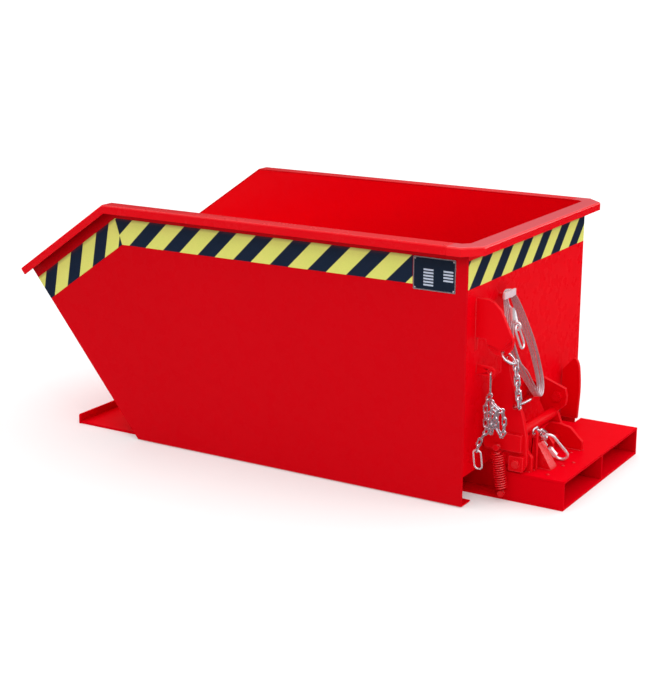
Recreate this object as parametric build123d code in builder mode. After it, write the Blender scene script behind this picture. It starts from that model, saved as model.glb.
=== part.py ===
from build123d import *
import math
import os

# Tipping hopper for a fork-lift truck: a welded sheet steel tub that tips
# forward about a hinge pin on a low base with two fork pockets, held by a
# sprung latch lever at the rear that a release rope works.
# Millimetres. +X to the rear (fork entry), -X to the pouring lip, +Z up.
# Origin at the middle of the footprint, on the floor.

# ------------------------------------------------------------ dimensions
# tub
HEIGHT = 520.0            # floor to rim top
TUB_W = 572.0             # outer width over the side walls
SHEET = 3.0               # tub sheet
X_REAR = 450.0            # outer face of the rear wall
WALL_LOW = 2.0            # underside of the side walls above the floor
X_TOE = -338.0            # side wall bottom, front corner
X_LIP, Z_LIP = -625.0, 358.0   # pouring lip, top of the falling rim
X_BEND = -393.0           # where the level rim turns down
Z_FLOOR = 64.0            # underside of the tub floor
RIM_OUT = 34.0            # rim stands out from the wall
RIM_DROP = 17.5           # depth of the rim's outer leg
FLANGE_W = 36.0           # inward flange under each side wall
# base
X_BASE = 625.0            # rear end of the base
BASE_W = 400.0
BASE_H = 60.0
PLATE = 5.0
POCKET_W = 320.0          # over the pocket sides under the tub
X_BOX = 497.0             # front of the wide rear box
X_POCKET = -300.0         # front end of the fork pockets
X_FOOT, FOOT_W = -519.0, 520.0
X_STEP = -345.0           # where the wide foot plate starts
LIP_H = 22.0
# tipping hinge
HX, HZ = -350.0, 45.0
PIN_R = 10.0
HINGE_GAP = 0.06          # radial running clearance
# latch lever pivot
LX, LZ = 525.0, 80.0
SHAFT_R = 8.0
SHAFT_GAP = 0.075
LEVER_T = 10.0
Y_LEVER = -186.0          # inner face of the lever plate
Y_HOOK = 2.0              # near face of the hook plate
# hazard tape
TAPE_T = 0.4
TAPE_TOP, TAPE_LOW = 32.0, 87.5   # below the rim's top line
# chain
WIRE = 4.0
LINK_IN = 19.4
LINK_W = 10.4             # middle to middle of the two legs
# rope
ROPE_D = 5.0
HANK_R = 8.0

HALF = TUB_W / 2
OUT = HALF + RIM_OUT
os.makedirs("parts", exist_ok=True)


def at_y(y):
    """Plane in X and Z at this Y; extruding goes towards -Y."""
    return Plane.XZ.offset(-y)


def front_x(z, inset=0.0):
    """X of the sloped front plane at height z, inset towards the inside."""
    run = (X_LIP - X_TOE) / (Z_LIP - WALL_LOW)
    slant = math.hypot(1.0, run)
    return X_TOE + (z - WALL_LOW) * run + inset * slant


def slope_z(x, below=0.0):
    """Z of the falling rim's top line at x, moved down square to the line."""
    rise = (HEIGHT - Z_LIP) / (X_BEND - X_LIP)
    return HEIGHT + (x - X_BEND) * rise - below * math.hypot(1.0, rise)


def level_meets_slope(below):
    """X where the level line and the falling line, both moved down, meet."""
    rise = (HEIGHT - Z_LIP) / (X_BEND - X_LIP)
    return X_BEND + (-below + below * math.hypot(1.0, rise)) / rise


def front_meets_slope(below, inset=0.0):
    """Where the falling line, moved down, meets the front plane."""
    lo, hi = 0.0, HEIGHT
    for _ in range(60):
        mid = (lo + hi) / 2
        if slope_z(front_x(mid, inset), below) > mid:
            lo = mid
        else:
            hi = mid
    return front_x(lo, inset), lo


FRONT_PLANE = Plane(
    origin=(X_LIP, 0, Z_LIP),
    x_dir=(0, 1, 0),
    z_dir=(-(Z_LIP - WALL_LOW), 0, X_LIP - X_TOE),
)

# ============================================================ BASE
with BuildPart() as base_bottom_plate:
    with Locations((X_STEP, -BASE_W / 2, 0)):
        Box(X_BASE - X_STEP, BASE_W, PLATE, align=(Align.MIN,) * 3)
base_bottom_plate.part.label = "base_bottom_plate"
export_step(base_bottom_plate.part, "parts/base_bottom_plate.step")

with BuildPart() as front_foot_plate:
    with Locations((X_FOOT, -FOOT_W / 2, 0)):
        Box(X_STEP - X_FOOT, FOOT_W, PLATE, align=(Align.MIN,) * 3)
    fillet(front_foot_plate.edges().filter_by(Axis.Z).group_by(Axis.X)[-1], 12)
front_foot_plate.part.label = "front_foot_plate"
export_step(front_foot_plate.part, "parts/front_foot_plate.step")

# upturned lip across the front: the tipped tub comes to rest just above it
with BuildPart() as front_stop_lip:
    with Locations((X_FOOT - 6.0, -FOOT_W / 2 - 2.0, 0)):
        Box(6.0, FOOT_W + 4.0, LIP_H, align=(Align.MIN,) * 3)
    fillet(front_stop_lip.edges().filter_by(Axis.X).group_by(Axis.Z)[-1], 5.0)
    fillet(front_stop_lip.edges().filter_by(Axis.Y).group_by(Axis.Z)[-1], 2.4)
front_stop_lip.part.label = "front_stop_lip"
export_step(front_stop_lip.part, "parts/front_stop_lip.step")

with BuildPart() as pocket_top_plate:
    with Locations((X_POCKET, -POCKET_W / 2, BASE_H - PLATE)):
        Box(X_BOX - X_POCKET, POCKET_W, PLATE, align=(Align.MIN,) * 3)
pocket_top_plate.part.label = "pocket_top_plate"
export_step(pocket_top_plate.part, "parts/pocket_top_plate.step")

with BuildPart() as pocket_sides:
    with Locations((X_POCKET, -POCKET_W / 2, PLATE), (X_POCKET, POCKET_W / 2 - PLATE, PLATE)):
        Box(X_BOX - X_POCKET, PLATE, BASE_H - 2 * PLATE, align=(Align.MIN,) * 3)
pocket_sides.part.label = "pocket_sides"
export_step(pocket_sides.part, "parts/pocket_sides.step")

with BuildPart() as pocket_divider:
    with Locations((X_POCKET, -PLATE / 2, PLATE)):
        Box(X_BASE - X_POCKET, PLATE, BASE_H - 2 * PLATE, align=(Align.MIN,) * 3)
pocket_divider.part.label = "pocket_divider"
export_step(pocket_divider.part, "parts/pocket_divider.step")

with BuildPart() as rear_box_top:
    with Locations((X_BOX, -BASE_W / 2, BASE_H - PLATE)):
        Box(X_BASE - X_BOX, BASE_W, PLATE, align=(Align.MIN,) * 3)
    fillet(rear_box_top.edges().filter_by(Axis.X).group_by(Axis.Z)[-1], 2.0)
rear_box_top.part.label = "rear_box_top"
export_step(rear_box_top.part, "parts/rear_box_top.step")

with BuildPart() as rear_box_sides:
    with Locations((X_BOX, -BASE_W / 2, PLATE), (X_BOX, BASE_W / 2 - PLATE, PLATE)):
        Box(X_BASE - X_BOX, PLATE, BASE_H - 2 * PLATE, align=(Align.MIN,) * 3)
rear_box_sides.part.label = "rear_box_sides"
export_step(rear_box_sides.part, "parts/rear_box_sides.step")

# webs that close the step between the narrow pockets and the wide rear box
web_len = BASE_W / 2 - PLATE - POCKET_W / 2
with BuildPart() as rear_box_webs:
    with Locations((X_BOX, -BASE_W / 2 + PLATE, PLATE), (X_BOX, POCKET_W / 2, PLATE)):
        Box(PLATE, web_len, BASE_H - 2 * PLATE, align=(Align.MIN,) * 3)
rear_box_webs.part.label = "rear_box_webs"
export_step(rear_box_webs.part, "parts/rear_box_webs.step")

# hinge brackets on the base, left and right, with the pin pressed in
with BuildPart() as hinge_brackets:
    for y in (-170.0, 182.0):
        with BuildSketch(at_y(y)):
            with BuildLine():
                Polyline((HX - 32, PLATE), (HX + 32, PLATE), (HX + 17, HZ), (HX - 17, HZ), close=True)
            make_face()
            with Locations((HX, HZ)):
                Circle(17)
                Circle(PIN_R, mode=Mode.SUBTRACT)
        extrude(amount=12)
hinge_brackets.part.label = "hinge_brackets"
export_step(hinge_brackets.part, "parts/hinge_brackets.step")

with BuildPart() as hinge_pin:
    with BuildSketch(at_y(214)):
        with Locations((HX, HZ)):
            Circle(PIN_R)
    extrude(amount=428)
    chamfer(hinge_pin.edges().filter_by(GeomType.CIRCLE), 1.0)
hinge_pin.part.label = "hinge_pin"
export_step(hinge_pin.part, "parts/hinge_pin.step")

with BuildPart() as hinge_collars:
    for y in (212.0, -203.0):
        with BuildSketch(at_y(y)):
            with Locations((HX, HZ)):
                Circle(16)
                Circle(PIN_R, mode=Mode.SUBTRACT)
        extrude(amount=9)
hinge_collars.part.label = "hinge_collars"
export_step(hinge_collars.part, "parts/hinge_collars.step")

with BuildPart() as rest_pads:
    with Locations((400, -110, BASE_H), (400, 110, BASE_H)):
        Box(60, 40, Z_FLOOR - BASE_H - 0.5, align=(Align.CENTER, Align.CENTER, Align.MIN))
rest_pads.part.label = "rest_pads"
export_step(rest_pads.part, "parts/rest_pads.step")

# upright guide plate at the far rear corner, beside the tub's rear wall
with BuildPart() as guide_plate:
    with BuildSketch(at_y(196)):
        with BuildLine():
            l1 = Polyline((491, BASE_H), (453, BASE_H), (453, 166), (474, 190))
            Spline(l1 @ 1, (482, 193.5), (488, 186), (492.5, 165), (494.5, 136), (493.5, 100), l1 @ 0)
        make_face()
    extrude(amount=8)
guide_plate.part.label = "guide_plate"
export_step(guide_plate.part, "parts/guide_plate.step")

# three upright brackets that carry the latch shaft
with BuildPart() as latch_brackets:
    for y in (-175.0, -71.0):
        with BuildSketch(at_y(y)):
            with BuildLine():
                Polyline((503, BASE_H), (549, BASE_H), (549, 90), (538, 103), (512, 103), (503, 92), close=True)
            make_face()
            with Locations((LX, LZ)):
                Circle(SHAFT_R + SHAFT_GAP, mode=Mode.SUBTRACT)
        extrude(amount=8)
    with BuildSketch(at_y(-1)):
        with BuildLine():
            Polyline((499, BASE_H), (583, BASE_H), (583, 79), (556, 105), (533, 110), (511, 110),
                     (499, 94), close=True)
        make_face()
        with Locations((LX, LZ)):
            Circle(SHAFT_R + SHAFT_GAP, mode=Mode.SUBTRACT)
    extrude(amount=8)
latch_brackets.part.label = "latch_brackets"
export_step(latch_brackets.part, "parts/latch_brackets.step")

# thick gusset with a sloped rear face, under the safety chain
with BuildPart() as latch_gusset:
    with BuildSketch(at_y(-122)):
        with BuildLine():
            Polyline((538, BASE_H), (577, BASE_H), (574, 66), (547, 110), (538, 110), close=True)
        make_face()
    extrude(amount=30)
latch_gusset.part.label = "latch_gusset"
export_step(latch_gusset.part, "parts/latch_gusset.step")

# lower spring pin on the side of the rear box
SPRING_Y = -213.0
SP_LOW = (501.0, 18.0)
SP_TOP = (488.0, 111.0)
with BuildPart() as spring_pin_lower:
    with BuildSketch(at_y(-BASE_W / 2)):
        with Locations(SP_LOW):
            Circle(3.5)
    extrude(amount=18)
    with BuildSketch(at_y(-BASE_W / 2 - 18)):
        with Locations(SP_LOW):
            Circle(6.5)
    extrude(amount=2.5)
spring_pin_lower.part.label = "spring_pin_lower"
export_step(spring_pin_lower.part, "parts/spring_pin_lower.step")

# ============================================================ CHAIN LINK
# one oval link, long way along X, lying in X and Y
leg = LINK_IN / 2 + WIRE / 2 - LINK_W / 2
with BuildPart() as chain_link:
    with BuildLine() as link_path:
        l1 = Line((-leg, -LINK_W / 2), (leg, -LINK_W / 2))
        a1 = RadiusArc(l1 @ 1, (leg, LINK_W / 2), -LINK_W / 2)
        l2 = Line(a1 @ 1, (-leg, LINK_W / 2))
        RadiusArc(l2 @ 1, l1 @ 0, -LINK_W / 2)
    with BuildSketch(Plane(origin=(0, -LINK_W / 2, 0), x_dir=(0, 1, 0), z_dir=(1, 0, 0))):
        Circle(WIRE / 2)
    sweep(path=link_path.wire())


# A link that stands across the bend reaches from the middle of one flat link's
# end to the middle of the next; a flat link reaches between its own two ends.
FLAT_STEP = 2 * leg
CROSS_STEP = 2 * leg + LINK_W


def chain_joints(points, size=1.0):
    """Points along a route, in turn one cross link and one flat link apart."""
    out = [Vector(*points[0])]
    for i in range(len(points) - 1):
        a, b = Vector(*points[i]), Vector(*points[i + 1])
        steps = max(1, int((b - a).length / 0.02))
        for k in range(steps + 1):
            p = a + (b - a) * (k / steps)
            if (p - out[-1]).length >= (CROSS_STEP if len(out) % 2 else FLAT_STEP) * size:
                out.append(p)
    return out


def link_places(joints):
    """One place per link: the first stands across, the second lies in X and Z."""
    out = []
    for i in range(len(joints) - 1):
        run = (joints[i + 1] - joints[i]).normalized()
        side = Vector(0, 1, 0)
        flat = (side - run * side.dot(run)).normalized()
        z_dir = run.cross(flat) if i % 2 == 0 else flat
        out.append(Location(Plane(origin=(joints[i] + joints[i + 1]) * 0.5, x_dir=run, z_dir=z_dir)))
    return out


# upright eye for the safety chain
EYE_X, EYE_Z, EYE_Y = 544.0, 132.0, -160.0
with BuildPart() as chain_eye:
    with BuildSketch(at_y(EYE_Y)):
        with BuildLine():
            c1 = Polyline((552, 132), (552, BASE_H), (536, BASE_H), (536, 132))
            ThreePointArc(c1 @ 1, (EYE_X, 141), c1 @ 0)
        make_face()
        with Locations((EYE_X, EYE_Z)):
            Circle(4.6, mode=Mode.SUBTRACT)
    extrude(amount=6)
chain_eye.part.label = "chain_eye"
export_step(chain_eye.part, "parts/chain_eye.step")

# short safety chain from the eye to the screw link: the first link hangs in the eye
link_1 = Vector(EYE_X, EYE_Y - 8.2 + LINK_IN / 2, 138.8)
j1 = link_1 + Vector(0, FLAT_STEP / 2, 0)
fall = Vector(3.0, 35.0, -20.0).normalized()
level = Vector(fall.Y, -fall.X, 0).normalized()
BIG = 1.3                 # the end link is a size larger than the others
j2 = j1 + fall * (2 * leg + LINK_W / 2 * (1 + BIG))
j3 = j2 + fall * (FLAT_STEP * BIG)
twisted = (level - fall.cross(level) * 0.3).normalized()
safety_places = [
    Location(Plane(origin=link_1, x_dir=(0, 1, 0), z_dir=(1, 0, 0))),
    Location(Plane(origin=j1 + fall * (leg + LINK_W / 2), x_dir=fall, z_dir=fall.cross(level))),
]
big_place = Location(Plane(origin=(j2 + j3) * 0.5, x_dir=fall, z_dir=twisted))
with BuildPart() as safety_chain:
    with Locations(*safety_places):
        add(chain_link.part)
    with Locations(big_place):
        add(chain_link.part.scale(BIG))
safety_chain.part.label = "safety_chain"
export_step(safety_chain.part, "parts/safety_chain.step")

# screw link: a long oval of rod with a gap in one leg that the sleeve covers
ROD = 5.6
SL_HALF = 21.0            # half of the straight leg
SL_R = 13.5               # bend radius to the rod's middle
GAP_A, GAP_B = -10.0, 2.0
sl_run = Vector(30.0, 31.5, -53.2).normalized()
sl_top = j3
sl_low = sl_top + sl_run * (2 * SL_HALF + 2 * SL_R)
print("screw link", sl_top, sl_low)
sl_side = (twisted - sl_run * twisted.dot(sl_run)).normalized()
sl_mid = (sl_top + sl_low) * 0.5
SL_PLANE = Plane(origin=sl_mid, x_dir=sl_run, z_dir=sl_run.cross(sl_side))
with BuildPart() as screw_link_body:
    with BuildLine(SL_PLANE) as sl_path:
        m1 = Line((GAP_B, -SL_R), (SL_HALF, -SL_R))
        m2 = RadiusArc(m1 @ 1, (SL_HALF, SL_R), -SL_R)
        m3 = Line(m2 @ 1, (-SL_HALF, SL_R))
        m4 = RadiusArc(m3 @ 1, (-SL_HALF, -SL_R), -SL_R)
        Line(m4 @ 1, (GAP_A, -SL_R))
    with BuildSketch(Plane(origin=SL_PLANE.from_local_coords((GAP_B, -SL_R, 0)), x_dir=SL_PLANE.z_dir, z_dir=SL_PLANE.x_dir)):
        Circle(ROD / 2)
    sweep(path=sl_path.wire())
screw_link_body.part.label = "screw_link_body"
export_step(screw_link_body.part, "parts/screw_link_body.step")

with BuildPart() as screw_link_sleeve:
    with BuildSketch(Plane(origin=SL_PLANE.from_local_coords((-0.6, -SL_R, 0)), x_dir=SL_PLANE.z_dir, z_dir=SL_PLANE.x_dir)):
        RegularPolygon(6.6, 6)
        Circle(ROD / 2 + 0.08, mode=Mode.SUBTRACT)
    extrude(amount=20)
screw_link_sleeve.part.label = "screw_link_sleeve"
export_step(screw_link_sleeve.part, "parts/screw_link_sleeve.step")

# ============================================================ TUB
with BuildPart() as tub_floor:
    with BuildSketch(at_y(HALF - SHEET)):
        with BuildLine():
            Polyline((X_REAR - SHEET, Z_FLOOR), (front_x(Z_FLOOR, SHEET), Z_FLOOR),
                     (front_x(Z_FLOOR + SHEET, SHEET), Z_FLOOR + SHEET), (X_REAR - SHEET, Z_FLOOR + SHEET), close=True)
        make_face()
    extrude(amount=TUB_W - 2 * SHEET)
tub_floor.part.label = "tub_floor"
export_step(tub_floor.part, "parts/tub_floor.step")

fx, fz = front_meets_slope(0.0)
gx, gz = front_meets_slope(0.0, SHEET)
with BuildPart() as tub_front_plate:
    with BuildSketch(at_y(HALF - SHEET)):
        with BuildLine():
            Polyline((front_x(Z_FLOOR), Z_FLOOR), (fx, fz), (gx, gz), (front_x(Z_FLOOR, SHEET), Z_FLOOR), close=True)
        make_face()
    extrude(amount=TUB_W - 2 * SHEET)
tub_front_plate.part.label = "tub_front_plate"
export_step(tub_front_plate.part, "parts/tub_front_plate.step")

with BuildPart() as tub_rear_wall:
    with Locations((X_REAR - SHEET, -HALF + SHEET, Z_FLOOR - 2)):
        Box(SHEET, TUB_W - 2 * SHEET, HEIGHT - SHEET - Z_FLOOR + 2, align=(Align.MIN,) * 3)
tub_rear_wall.part.label = "tub_rear_wall"
export_step(tub_rear_wall.part, "parts/tub_rear_wall.step")

# side walls: level top, falling top, sloped front edge, almost down to the floor
sx, sz = front_meets_slope(SHEET)
side_outline = [(X_REAR, WALL_LOW), (X_TOE, WALL_LOW), (sx, sz),
                (level_meets_slope(SHEET), HEIGHT - SHEET), (X_REAR, HEIGHT - SHEET)]
with BuildPart() as tub_side_near:
    with BuildSketch(at_y(-HALF + SHEET)):
        with BuildLine():
            Polyline(*side_outline, close=True)
        make_face()
    extrude(amount=SHEET)
    fillet(tub_side_near.edges().filter_by(Axis.Z).group_by(Axis.Y)[0].sort_by(Axis.X)[-1], 2.6)
tub_side_near.part.label = "tub_side_near"
export_step(tub_side_near.part, "parts/tub_side_near.step")

with BuildPart() as tub_side_far:
    with BuildSketch(at_y(HALF)):
        with BuildLine():
            Polyline(*side_outline, close=True)
        make_face()
    extrude(amount=SHEET)
    fillet(tub_side_far.edges().filter_by(Axis.Z).group_by(Axis.Y)[-1].sort_by(Axis.X)[-1], 2.6)
tub_side_far.part.label = "tub_side_far"
export_step(tub_side_far.part, "parts/tub_side_far.step")

with BuildPart() as bottom_flanges:
    with Locations((-300, -HALF + SHEET, WALL_LOW), (-300, HALF - SHEET - FLANGE_W, WALL_LOW)):
        Box(X_REAR + 300, FLANGE_W, SHEET, align=(Align.MIN,) * 3)
bottom_flanges.part.label = "bottom_flanges"
export_step(bottom_flanges.part, "parts/bottom_flanges.step")


def rim_section(plane):
    """Angle section of the rim: flange inwards, leg down, rounded outside."""
    with BuildSketch(plane) as section:
        with BuildLine():
            Polyline((0, 0), (RIM_OUT + SHEET, 0), (RIM_OUT + SHEET, -SHEET), (SHEET, -SHEET),
                     (SHEET, -RIM_DROP), (0, -RIM_DROP), close=True)
        make_face()
        fillet(section.vertices().sort_by(lambda v: math.hypot(v.X, v.Y))[0], 5.0)
    return section


# near and far rims: level run, then the falling run to the pouring lip
rise = (HEIGHT - Z_LIP) / (X_BEND - X_LIP)
X_SPLIT = 420.0
x_low = X_LIP - 60
z_low = HEIGHT + (x_low - X_BEND) * rise
RIM_START = Plane(origin=(X_SPLIT, -OUT, HEIGHT), x_dir=(0, 1, 0), z_dir=(1, 0, 0))
with BuildPart() as rim_near:
    with BuildLine() as rn:
        Polyline((X_SPLIT, -OUT, HEIGHT), (X_BEND, -OUT, HEIGHT), (x_low, -OUT, z_low))
    sweep(sections=rim_section(RIM_START).sketch, path=rn.wire(), transition=Transition.RIGHT)
    split(bisect_by=FRONT_PLANE, keep=Keep.BOTTOM)
rim_near.part.label = "rim_near"
export_step(rim_near.part, "parts/rim_near.step")

with BuildPart() as rim_far:
    mirror(rim_near.part, about=Plane.XZ, mode=Mode.ADD)
rim_far.part.label = "rim_far"
export_step(rim_far.part, "parts/rim_far.step")

# rear rim with bevelled corners
with BuildPart() as rim_rear:
    with BuildLine() as rr:
        Polyline((X_SPLIT, -OUT, HEIGHT), (X_REAR, -OUT, HEIGHT), (X_REAR + RIM_OUT, -HALF, HEIGHT),
                 (X_REAR + RIM_OUT, HALF, HEIGHT), (X_REAR, OUT, HEIGHT), (X_SPLIT, OUT, HEIGHT))
    sweep(sections=rim_section(RIM_START).sketch, path=rr.wire(), transition=Transition.RIGHT)
rim_rear.part.label = "rim_rear"
export_step(rim_rear.part, "parts/rim_rear.step")

# hinge ears under the floor, bushed
with BuildPart() as hinge_ears:
    for y in (200.0, -186.0):
        with BuildSketch(at_y(y)):
            with Locations((HX, HZ)):
                Circle(19)
            with Locations((HX, (HZ + Z_FLOOR) / 2)):
                Rectangle(38, Z_FLOOR - HZ)
            with Locations((HX, HZ)):
                Circle(13, mode=Mode.SUBTRACT)
        extrude(amount=14)
hinge_ears.part.label = "hinge_ears"
export_step(hinge_ears.part, "parts/hinge_ears.step")

with BuildPart() as hinge_bushes:
    for y in (200.0, -186.0):
        with BuildSketch(at_y(y)):
            with Locations((HX, HZ)):
                Circle(13)
                Circle(PIN_R + HINGE_GAP, mode=Mode.SUBTRACT)
        extrude(amount=14)
hinge_bushes.part.label = "hinge_bushes"
export_step(hinge_bushes.part, "parts/hinge_bushes.step")

# catch for the latch hook: two lugs and a pin on the rear wall
CX, CZ = 465.6, 167.0
with BuildPart() as catch_lugs:
    for y in (22.0, -6.0):
        with BuildSketch(at_y(y)):
            with BuildLine():
                Polyline((X_REAR, 148), (464, 150), (474, 158), (474, 176), (464, 184), (X_REAR, 186), close=True)
            make_face()
            with Locations((CX, CZ)):
                Circle(7.0, mode=Mode.SUBTRACT)
        extrude(amount=6)
catch_lugs.part.label = "catch_lugs"
export_step(catch_lugs.part, "parts/catch_lugs.step")

with BuildPart() as catch_pin:
    with BuildSketch(at_y(24)):
        with Locations((CX, CZ)):
            Circle(7.0)
    extrude(amount=38)
    chamfer(catch_pin.edges().filter_by(GeomType.CIRCLE), 1.0)
catch_pin.part.label = "catch_pin"
export_step(catch_pin.part, "parts/catch_pin.step")

# chain lug: a plate on the rear wall with a hanging rounded end
with BuildPart() as chain_lug:
    with BuildSketch(at_y(-239)) as lug:
        with BuildLine():
            p1 = Polyline((473.5, 334), (X_REAR, 334), (X_REAR, 411.5), (475, 411.5), (488, 406), (502, 393), (523, 350))
            ThreePointArc(p1 @ 1, (501.5, 304.5), p1 @ 0)
        make_face()
        with Locations((508, 312)):
            Circle(3.8, mode=Mode.SUBTRACT)
    extrude(amount=8)
chain_lug.part.label = "chain_lug"
export_step(chain_lug.part, "parts/chain_lug.step")

# wire ring through the lug's hole
lug_dir = Vector(0.757, 0, -0.653).normalized()
lug_mid = Vector(508, -243, 312) + lug_dir * 15.0
with BuildPart() as lug_ring:
    with BuildSketch(Plane(origin=(508, -243, 312), x_dir=lug_dir, z_dir=(0, 1, 0))):
        Circle(1.9)
    revolve(axis=Axis(tuple(lug_mid), (-lug_dir.Z, 0, lug_dir.X)), revolution_arc=360)
lug_ring.part.label = "lug_ring"
export_step(lug_ring.part, "parts/lug_ring.step")

# rope hook: a flat stem with a broad upright plate on its end
with BuildPart() as rope_hook:
    with Locations((X_REAR, -147, 394)):
        Box(26, 12, 6, align=(Align.MIN,) * 3)
    with Locations((X_REAR + 24, -177, 396.5)):
        Box(4, 51, 13.5, align=(Align.MIN,) * 3)
rope_hook.part.label = "rope_hook"
export_step(rope_hook.part, "parts/rope_hook.step")

# eye lug for the hanging chain
with BuildPart() as wall_eye:
    with BuildSketch(at_y(-233.5)):
        with BuildLine():
            e1 = Polyline((480, 258.5), (X_REAR, 258.5), (X_REAR, 279.5), (480, 277.5))
            ThreePointArc(e1 @ 1, (489.5, 268), e1 @ 0)
        make_face()
        with Locations((480, 268)):
            Circle(5.2, mode=Mode.SUBTRACT)
    extrude(amount=5)
wall_eye.part.label = "wall_eye"
export_step(wall_eye.part, "parts/wall_eye.step")

# hazard tapes: level band and falling band on each side wall, one band on the rear wall
jt, jl = level_meets_slope(TAPE_TOP), level_meets_slope(TAPE_LOW)
tx, tz = front_meets_slope(TAPE_TOP, 0.4)
bx, bz = front_meets_slope(TAPE_LOW, 0.4)
level_band = [(jt, HEIGHT - TAPE_TOP), (jl, HEIGHT - TAPE_LOW), (334, HEIGHT - TAPE_LOW), (334, HEIGHT - TAPE_TOP)]
level_far = [(jt, HEIGHT - TAPE_TOP), (jl, HEIGHT - TAPE_LOW), (446, HEIGHT - TAPE_LOW), (446, HEIGHT - TAPE_TOP)]
fall_band = [(jt - 0.3, HEIGHT - TAPE_TOP - 0.2), (tx, tz), (bx, bz), (jl - 0.3, HEIGHT - TAPE_LOW - 0.2)]
with BuildPart() as hazard_tapes_near:
    for band in (level_band, fall_band):
        with BuildSketch(at_y(-HALF)):
            with BuildLine():
                Polyline(*band, close=True)
            make_face()
        extrude(amount=TAPE_T)
hazard_tapes_near.part.label = "hazard_tapes_near"
export_step(hazard_tapes_near.part, "parts/hazard_tapes_near.step")

with BuildPart() as hazard_tapes_far:
    for band in (level_far, fall_band):
        with BuildSketch(at_y(HALF + TAPE_T)):
            with BuildLine():
                Polyline(*band, close=True)
            make_face()
        extrude(amount=TAPE_T)
hazard_tapes_far.part.label = "hazard_tapes_far"
export_step(hazard_tapes_far.part, "parts/hazard_tapes_far.step")

with BuildPart() as hazard_tape_rear:
    with Locations((X_REAR, -HALF + SHEET, HEIGHT - TAPE_LOW)):
        Box(TAPE_T, TUB_W - 2 * SHEET, TAPE_LOW - TAPE_TOP, align=(Align.MIN,) * 3)
hazard_tape_rear.part.label = "hazard_tape_rear"
export_step(hazard_tape_rear.part, "parts/hazard_tape_rear.step")

# plain type plate and its rivets
with BuildPart() as type_plate:
    with BuildSketch(at_y(-HALF)):
        with Locations((380.3, 455.3)):
            RectangleRounded(90, 64.5, 2.0)
    extrude(amount=0.8)
type_plate.part.label = "type_plate"
export_step(type_plate.part, "parts/type_plate.step")

with BuildPart() as type_plate_rivets:
    with BuildSketch(at_y(-HALF - 0.8)):
        with Locations((380.3, 455.3)):
            with GridLocations(82, 56.5, 2, 2):
                Circle(1.7)
    extrude(amount=0.9)
    chamfer(type_plate_rivets.faces().filter_by(Axis.Y).group_by(Axis.Y)[0].edges(), 0.45)
type_plate_rivets.part.label = "type_plate_rivets"
export_step(type_plate_rivets.part, "parts/type_plate_rivets.step")

# ------------------------------------------------------------ release rope
# hank: a closed loop of several turns that hangs from the rope hook
HANK = [(462, -142, 427), (463, -164, 397), (471, -160, 366), (478, -156, 335), (484, -153, 304),
        (490, -144, 272), (494.5, -126, 240), (497.5, -102, 208), (500, -74, 178), (500, -47, 180),
        (498, -36, 212), (493.5, -41, 254), (486, -62, 305), (476.5, -82, 345), (468, -100, 373), (462, -121, 396)]


def corner_radii(points, closed):
    """Largest tangent arc at each corner that both runs leave room for."""
    out = []
    n = len(points)
    ids = range(n) if closed else range(1, n - 1)
    for i in ids:
        a, b, c = Vector(*points[i - 1]), Vector(*points[i]), Vector(*points[(i + 1) % n])
        turn = math.radians((b - a).get_angle(c - b))
        run = min((b - a).length, (c - b).length)
        out.append(0.45 * run / math.tan(turn / 2))
    return out


hank_radii = corner_radii(HANK, True)
print("hank radii", [round(r, 1) for r in hank_radii])
half_a = tuple((Vector(*HANK[3]) + Vector(*HANK[4])) * 0.5)
half_b = tuple((Vector(*HANK[11]) + Vector(*HANK[12])) * 0.5)
with BuildPart() as rope_hank:
    with BuildLine() as hank_low:
        FilletPolyline(half_a, *HANK[4:12], half_b, radius=hank_radii[4:12])
    wl = hank_low.wire()
    with BuildSketch(Plane(origin=wl @ 0, z_dir=wl % 0)):
        Circle(HANK_R)
    sweep(path=wl)
    with BuildLine() as hank_high:
        FilletPolyline(half_b, *HANK[12:], *HANK[:4], half_a, radius=hank_radii[12:] + hank_radii[:4])
    wh = hank_high.wire()
    with BuildSketch(Plane(origin=wh @ 0, z_dir=wh % 0)):
        Circle(HANK_R)
    sweep(path=wh)
rope_hank.part.label = "rope_hank"
export_step(rope_hank.part, "parts/rope_hank.step")
print("hank", round(wl.length + wh.length, 1), "volume", round(rope_hank.part.volume),
      round((wl.length + wh.length) * math.pi * HANK_R ** 2))

# the two ends that leave the hank: one to each ferrule
TAIL_A = [(487.5, -159, 354), (488.5, -160, 338), (488, -158.5, 320), (485.5, -155, 302)]
TAIL_B = [(463, -166, 397), (466.5, -161.5, 386), (472.5, -152, 376.5), (480, -141, 368)]
with BuildPart() as rope_tail:
    for route in (TAIL_A, TAIL_B):
        radii = corner_radii(route, False)
        print("tail radii", [round(r, 1) for r in radii])
        with BuildLine() as tail_line:
            FilletPolyline(*route, radius=radii)
        tw = tail_line.wire()
        with BuildSketch(Plane(origin=tw @ 0, z_dir=tw % 0)):
            Circle(ROPE_D / 2)
        sweep(path=tw)
        print("tail", round(tw.length, 1))
rope_tail.part.label = "rope_tail"
export_step(rope_tail.part, "parts/rope_tail.step")

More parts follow.
